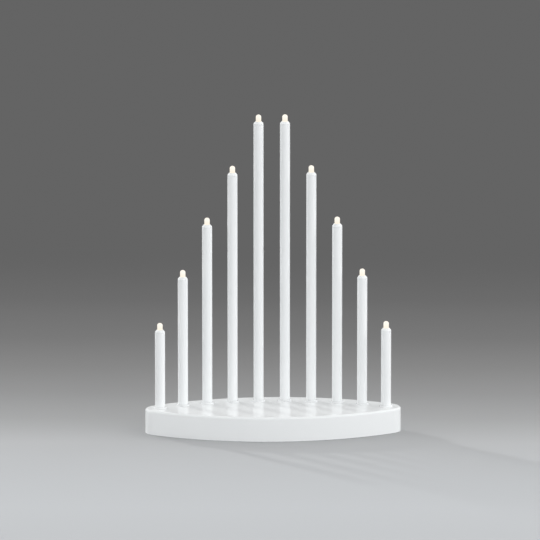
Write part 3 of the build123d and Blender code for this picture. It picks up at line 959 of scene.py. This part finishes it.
@dataclass
class TimerUnit:
    """The timer board with what is soldered to it, the slide switch and the terminal block."""

    board_top: float = 8.5 * MM
    chip_middle: Pair = (49 * MM, -15 * MM)
    chip_size: Pair = (5 * MM, 4 * MM)
    chip_heights: Pair = (0.15 * MM, 1.5 * MM)
    chip_roundings: Pair = (0.2 * MM, 0.1 * MM)
    leg_reach: float = 0.9 * MM
    leg_xs: tuple[float, ...] = (-1.8 * MM, -0.6 * MM, 0.6 * MM, 1.8 * MM)
    leg_width: float = 0.4 * MM
    leg_foot: Triple = (0.3 * MM, 0.6 * MM, 0.16 * MM)
    leg_knee: Triple = (0.55 * MM, 0.2 * MM, 0.85 * MM)
    leg_roundings: Pair = (0.06 * MM, 0.04 * MM)
    capacitor_middle: Pair = (63 * MM, -6 * MM)
    capacitor_sides: int = 48
    capacitor_radius: float = 3.15 * MM
    capacitor_height: float = 8 * MM
    capacitor_roundings: tuple[float, ...] = (0, 0.25, 0.3, 0.3, 0.3, 0.5, 0, 0)
    pinch_height: float = 1.3 * MM
    pinch_half: float = 0.5 * MM
    pinch_depth: float = 0.4 * MM
    rim_width: float = 0.8 * MM
    rim_depth: float = 0.15 * MM
    top_inset: float = 0.85 * MM
    top_depths: Pair = (0.4 * MM, 0.06 * MM)
    top_rounding: float = 0.1 * MM
    resistor_middles: tuple[Pair, ...] = ((59 * MM, -20 * MM), (59 * MM, -17 * MM), (59 * MM, -14 * MM))
    resistor_size: Pair = (2.4 * MM, 1.5 * MM)
    resistor_heights: Pair = (0.05 * MM, 0.55 * MM)
    resistor_end_x: float = 1.35 * MM
    resistor_end_size: Pair = (0.5 * MM, 1.6 * MM)
    resistor_end_height: float = 0.6 * MM
    resistor_roundings: Pair = (0.1 * MM, 0.05 * MM)

    def chip(self) -> None:
        """Build the chip's body and its legs."""
        x, y = self.chip_middle
        length, width = self.chip_size
        base = self.board_top
        low, high = (base + height for height in self.chip_heights)
        body = Slab((x, y), (length, width - self.leg_reach), low, high, *self.chip_roundings)
        mesh = slab_mesh([body])
        chip = place_piece(mesh, "chip_body", BLACK_MOULDING.material())
        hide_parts("timer_chip")
        legs = []
        for offset in self.leg_xs:
            for side in (-1, 1):
                for inset, depth, height in (self.leg_foot, self.leg_knee):
                    middle = (x + offset, y + side * (width / 2 - inset))
                    size = (self.leg_width, depth)
                    legs.append(Slab(middle, size, base, base + height, *self.leg_roundings))
        place_piece(slab_mesh(legs, 2), "chip_legs", TINNED_METAL.material())

    def capacitor(self) -> None:
        """Build the capacitor: a can in a sleeve, pinched near its foot, with a bare top."""
        radius, top = self.capacitor_radius, self.board_top + self.capacitor_height
        place = upright_at(*self.capacitor_middle)
        pinch = self.board_top + self.pinch_height
        inner, sunk = radius - self.rim_width, top - self.rim_depth
        foot = [(0, self.board_top), (radius, self.board_top), (radius, pinch - self.pinch_half)]
        waist = [(radius - self.pinch_depth, pinch), (radius, pinch + self.pinch_half)]
        rim = [(radius, top), (inner, top), (inner, sunk), (0, sunk)]
        roundings = [rounding * MM for rounding in self.capacitor_roundings]
        sleeve = rounded_profile(foot + waist + rim, roundings)
        mesh = turned_mesh([(sleeve, place)], self.capacitor_sides)
        film = CAPACITOR_SLEEVE.material()
        jacket = place_piece(mesh, "capacitor_jacket", film)
        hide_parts("capacitor")
        edge = radius - self.top_inset
        low, high = (top - depth for depth in self.top_depths)
        disc = rounded_profile([(0, low), (edge, low), (edge, high), (0, high)], [0, 0, self.top_rounding])
        mesh = turned_mesh([(disc, place)], self.capacitor_sides)
        place_piece(mesh, "capacitor_top", TINNED_METAL.material())

    def resistors(self) -> None:
        """Build the resistors and their tinned ends."""
        base = self.board_top
        low, high = (base + height for height in self.resistor_heights)
        bodies, ends = [], []
        for x, y in self.resistor_middles:
            bodies.append(Slab((x, y), self.resistor_size, low, high, *self.resistor_roundings))
            for side in (-1, 1):
                middle = (x + side * self.resistor_end_x, y)
                end_top = base + self.resistor_end_height
                ends.append(Slab(middle, self.resistor_end_size, base, end_top, *self.resistor_roundings))
        mesh = slab_mesh(bodies, 2)
        cores = place_piece(mesh, "resistor_bodies", BLACK_MOULDING.material())
        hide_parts("resistors")
        place_piece(slab_mesh(ends, 2), "resistor_ends", TINNED_METAL.material())

    def build(self) -> None:
        """Build and dress the timer unit."""
        self.chip()
        self.capacitor()
        self.resistors()
        finish_node("timer_board", GREEN_LACQUER)
        finish_node("switch_casing", BLACK_MOULDING)
        finish_node("switch_slider", SWITCH_GREY)
        finish_node("wire_terminal", TERMINAL_NYLON)
        LOG.info("timer unit: board, chip, capacitor, resistors, switch and terminal")


@dataclass
class Wiring:
    """The row board and the wires that join battery bay, timer unit and row board."""

    radius: float = 0.5 * MM
    bend: float = 2.4 * MM
    level: float = 3.85 * MM
    supply_corners: tuple[tuple[Pair, ...], ...] = (
        (
            (-32.9 * MM, 6.75 * MM),
            (-32.9 * MM, 20.05 * MM),
            (45.75 * MM, 20.05 * MM),
            (45.75 * MM, -0.5 * MM),
        ),
        ((33.2 * MM, -24.5 * MM), (45.75 * MM, -24.5 * MM), (45.75 * MM, -3.5 * MM)),
    )
    feed_ends: tuple[Pair, ...] = ((49 * MM, 23.575 * MM), (52 * MM, 22.8 * MM))
    feed_start: float = -0.5 * MM
    joints: tuple[Pair, ...] = ((-32.9 * MM, 6.5 * MM), (33.0 * MM, -24.5 * MM))
    solder_sides: int = 24
    solder_radius: float = 0.85 * MM
    solder_half: float = 0.5 * MM
    solder_rounding: float = 0.45 * MM

    def route(self, corners: Sequence[Sequence[float]]) -> tuple[list[Vector], float]:
        """Line of a wire that runs straight between round bends, with its radius.

        Args:
            corners: its two ends with the corners between them.

        Returns:
            Its control points, one more on each side of every corner, and its radius.
        """
        stops = [Vector(corner) for corner in corners]
        points = [stops[0]]
        for before, corner, after in zip(stops, stops[1:], stops[2:]):
            points.append(corner + (before - corner).normalized() * self.bend)
            points.append(corner)
            points.append(corner + (after - corner).normalized() * self.bend)
        return [*points, stops[-1]], self.radius

    def wires(self) -> None:
        """Build the red battery wires and the white feed wires."""
        supply = [
            self.route([(*corner, self.level) for corner in corners]) for corners in self.supply_corners
        ]
        red = place_piece(swept_mesh(supply), "supply_wires", RED_JACKET.material())
        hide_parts("battery_wires")
        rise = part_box("row_board")[0].z
        feed = [
            self.route([(x, self.feed_start, self.level), (x, y, self.level), (x, y, rise)])
            for x, y in self.feed_ends
        ]
        pair = place_piece(swept_mesh(feed), "feed_pair", WHITE_JACKET.material())
        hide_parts("feed_wires")

    def solder(self) -> None:
        """Build the solder where the battery wires meet the contact tags."""
        radius, half = self.solder_radius, self.solder_half
        drop = rounded_profile(
            [(0, -half), (radius, -half), (radius, half), (0, half)],
            [0, self.solder_rounding, self.solder_rounding],
        )
        drops = [(drop, upright_at(x, y, self.level)) for x, y in self.joints]
        mesh = turned_mesh(drops, self.solder_sides)
        place_piece(mesh, "solder_drops", TINNED_METAL.material())

    def build(self) -> None:
        """Build the wires and dress the row board."""
        self.wires()
        self.solder()
        finish_node("row_board", WHITE_LACQUER)
        LOG.info("wiring: row board, battery wires and feed wires")


# Studio


def stand_off(
    name: str, data: bpy.types.ID, aim: Vector, azimuth: float, elevation: float, distance: float
) -> bpy.types.Object:
    """Place a light or a camera so that it faces a point.

    Args:
        name: the name of its object.
        data: the light or the camera.
        aim: the point that it faces.
        azimuth: its turn in degrees from straight in front to the right.
        elevation: its angle in degrees above the floor.
        distance: how far from the point it stands.

    Returns:
        Its object.
    """
    turn, lift = radians(azimuth), radians(elevation)
    back = Vector((sin(turn) * cos(lift), -cos(turn) * cos(lift), sin(lift)))
    holder = bpy.data.objects.new(name, data)
    holder.location = aim + back * distance
    holder.rotation_mode = "QUATERNION"
    holder.rotation_quaternion = back.to_track_quat("Z", "Y")
    SCENE.collection.objects.link(holder)
    return holder


@dataclass(frozen=True)
class SoftLight:
    """One flat studio light; its share is the level that it brings to a white card facing it."""

    name: str
    azimuth: float
    elevation: float
    size: Pair
    share: float
    mirrored: bool = True
    distance: float = 4.0

    def build(self, aim: Vector) -> bpy.types.Object:
        """Place the light.

        Args:
            aim: the point that it faces.

        Returns:
            The light's object.
        """
        lamp = bpy.data.lights.new(self.name, "AREA")
        lamp.shape = "RECTANGLE"
        lamp.size, lamp.size_y = self.size
        lamp.energy = self.share * (pi * self.distance) ** 2
        holder = stand_off(self.name, lamp, aim, self.azimuth, self.elevation, self.distance)
        holder.visible_glossy = self.mirrored
        return holder


@dataclass
class Studio:
    """Floor, surround, lights and camera."""

    azimuth: float = -2.476
    elevation: float = 10.813
    distance: float = 7.5
    lens: float = 534.8
    aim: Triple = (-0.0029, 0.0, 0.1545)
    view_depth: float = 60.0
    floor_name: str = "studio_floor"
    floor_sides: int = 96
    floor_radii: tuple[float, ...] = (0.0, 0.5, 1.5, 4.0, 9.0)
    floor_roughness: float = 0.9
    floor_specular: float = 0.1
    # Outline of the painted pool of light, where the floor's colour is palest
    pool_front: float = -0.33
    pool_half_width: float = 0.3
    pool_slant: float = 0.06
    pool_fore: float = -0.6
    # Painted pool of light on the floor: distance from the pale pool, level and coolness
    painted_pool_tones: tuple[Triple, ...] = (
        (0.0, 0.524, 0.03),
        (0.1, 0.507, 0.028),
        (0.2, 0.484, 0.024),
        (0.28, 0.456, 0.018),
        (0.39, 0.349, 0.01),
        (0.51, 0.266, 0.006),
        (0.635, 0.207, 0.0),
        (0.78, 0.156, 0.0),
        (0.98, 0.122, 0.0),
        (1.17, 0.115, 0.0),
        (1.25, 0.115, 0.0),
    )
    far_start: float = 0.9
    far_end: float = 1.25
    backdrop: float = 0.127
    ambient: float = 0.53
    light_aim: Triple = (0.0, 0.0, 0.1)
    soft_lights: tuple[SoftLight, ...] = (
        SoftLight("front_fill", 0.0, 22.0, (4.2, 4.0), 0.25),
        SoftLight("key_softbox", 52.0, 22.0, (5.0, 4.2), 0.54),
        SoftLight("left_panel", -96.0, 22.0, (5.0, 4.2), 0.43),
        SoftLight("right_panel", 108.0, 22.0, (5.6, 4.2), 0.48),
        SoftLight("back_left_panel", -150.0, 20.0, (4.4, 3.4), 0.05),
        SoftLight("low_window", -140.0, 18.0, (0.25, 0.25), 0.38, mirrored=False),
        SoftLight("back_panel", 180.0, 24.0, (5.0, 3.0), 0.09),
    )
    underlight_lamp: SoftLight = SoftLight("underlight", 0.0, -90.0, (0.6, 0.6), 0.5)

    def floor(self) -> None:
        """Build the pale floor, its colour painted lighter round the object and darker away from it: a
        painted pool of light in place of the light's falloff on a swept backdrop.
        """
        mesh = turned_mesh(
            [([(radius, 0) for radius in self.floor_radii], Matrix.Identity(4))], self.floor_sides
        )
        mesh.flip_normals()
        material, graph, shader = new_material("studio_sweep")
        split = graph.add("SeparateXYZ", {"Vector": graph.add("TexCoord").outputs["Object"]}).outputs
        across = graph.worked("SUBTRACT", graph.worked("ABSOLUTE", split["X"]), self.pool_half_width)
        slanted = graph.worked("MULTIPLY_ADD", split["X"], self.pool_slant, split["Y"])
        behind = graph.worked("SUBTRACT", slanted, self.pool_front)
        before = graph.worked("MULTIPLY", behind, self.pool_fore)
        reach = {"X": graph.worked("MAXIMUM", across, 0.0), "Y": graph.worked("MAXIMUM", behind, before)}
        joined = graph.add("CombineXYZ", reach).outputs["Vector"]
        far = graph.add("VectorMath", {0: joined}, operation="LENGTH").outputs["Value"]
        last = self.painted_pool_tones[-1][0]
        # Painted pool of light: the floor's colour steps from pale round the object down to dark grey away
        # from it
        ramp = graph.add("ValToRGB", {"Fac": graph.worked("DIVIDE", far, last)})
        elements = ramp.color_ramp.elements
        while len(elements) < len(self.painted_pool_tones):
            elements.new(1.0)
        for element, (place, level, coolness) in zip(elements, self.painted_pool_tones):
            element.position = place / last
            element.color = (level * (1 - coolness), level, level * (1 + coolness), 1.0)
        look = {
            "Base Color": ramp.outputs["Color"],
            "Roughness": self.floor_roughness,
            "Specular IOR Level": self.floor_specular,
        }
        graph.feed(shader, look)
        seen = graph.add("Emission", {"Color": rgba((self.backdrop,) * 3)})
        span = {"From Min": self.far_start, "From Max": self.far_end, "Value": far}
        fading = graph.add("MapRange", span, interpolation_type="SMOOTHSTEP")
        mask = graph.worked("MULTIPLY", fading.outputs["Result"], self.direct_view(graph))
        near, away = shader.outputs["BSDF"], seen.outputs["Emission"]
        distant = graph.add("MixShader", {"Fac": mask, 1: near, 2: away})
        behind_face = graph.add("NewGeometry").outputs["Backfacing"]
        clear = graph.add("BsdfTransparent").outputs["BSDF"]
        both = graph.add("MixShader", {"Fac": behind_face, 1: distant.outputs["Shader"], 2: clear})
        graph.feed(material.node_tree.nodes["Material Output"], {"Surface": both.outputs["Shader"]})
        mesh.materials.append(material)
        floor = bpy.data.objects.new(self.floor_name, mesh)
        SCENE.collection.objects.link(floor)

    def direct_view(self, graph: Graph) -> Socket:
        """Mask of what the camera sees by itself, in a reflection or through glass.

        Args:
            graph: the node tree that uses it.

        Returns:
            The output that carries the mask.
        """
        path = graph.add("LightPath").outputs
        mirrored = graph.worked("MAXIMUM", path["Is Glossy Ray"], path["Is Transmission Ray"])
        return graph.worked("MAXIMUM", path["Is Camera Ray"], mirrored)

    def world(self) -> None:
        """Set an even pale surround that the camera and reflections see as the grey backdrop."""
        world = bpy.data.worlds.new("studio_surround")
        world.use_nodes = True
        SCENE.world = world
        graph = Graph(world.node_tree)
        pale, grey = (self.ambient,) * 3, (self.backdrop,) * 3
        colour = graph.blended(self.direct_view(graph), pale, grey)
        graph.feed(world.node_tree.nodes["Background"], {"Strength": 1.0, "Color": colour})

    def lights(self) -> None:
        """Place the soft lights."""
        for light in self.soft_lights:
            light.build(Vector(self.light_aim))

    def underlight(self) -> None:
        """Light the underside from straight below, past the floor that it stands on."""
        solids = bpy.data.collections.new("underside_solids")
        for piece in SCENE.objects:
            if piece.type == "MESH" and piece.name != self.floor_name:
                solids.objects.link(piece)
        lamp = self.underlight_lamp.build(Vector())
        lamp.light_linking.blocker_collection = solids

    def camera(self) -> None:
        """Place the long lens at the photograph's angle."""
        data = bpy.data.cameras.new("camera")
        data.sensor_width = SENSOR_WIDTH
        data.lens = self.lens
        data.clip_end = self.view_depth
        aim = Vector(self.aim)
        SCENE.camera = stand_off("camera", data, aim, self.azimuth, self.elevation, self.distance)

    def build(self) -> None:
        """Build the whole studio."""
        SCENE.view_settings.view_transform = "Standard"
        self.floor()
        self.world()
        self.lights()
        self.underlight()
        self.camera()
        LOG.info("studio: floor, surround, lights and camera")


def main() -> None:
    """Build the arch's looks in order."""
    logging.basicConfig(level=logging.INFO, format="%(name)s: %(message)s")
    for assembly in (Housing, CandleRow, BatteryBay, TimerUnit, Wiring, Studio):
        assembly().build()


if __name__ == "__main__":
    main()
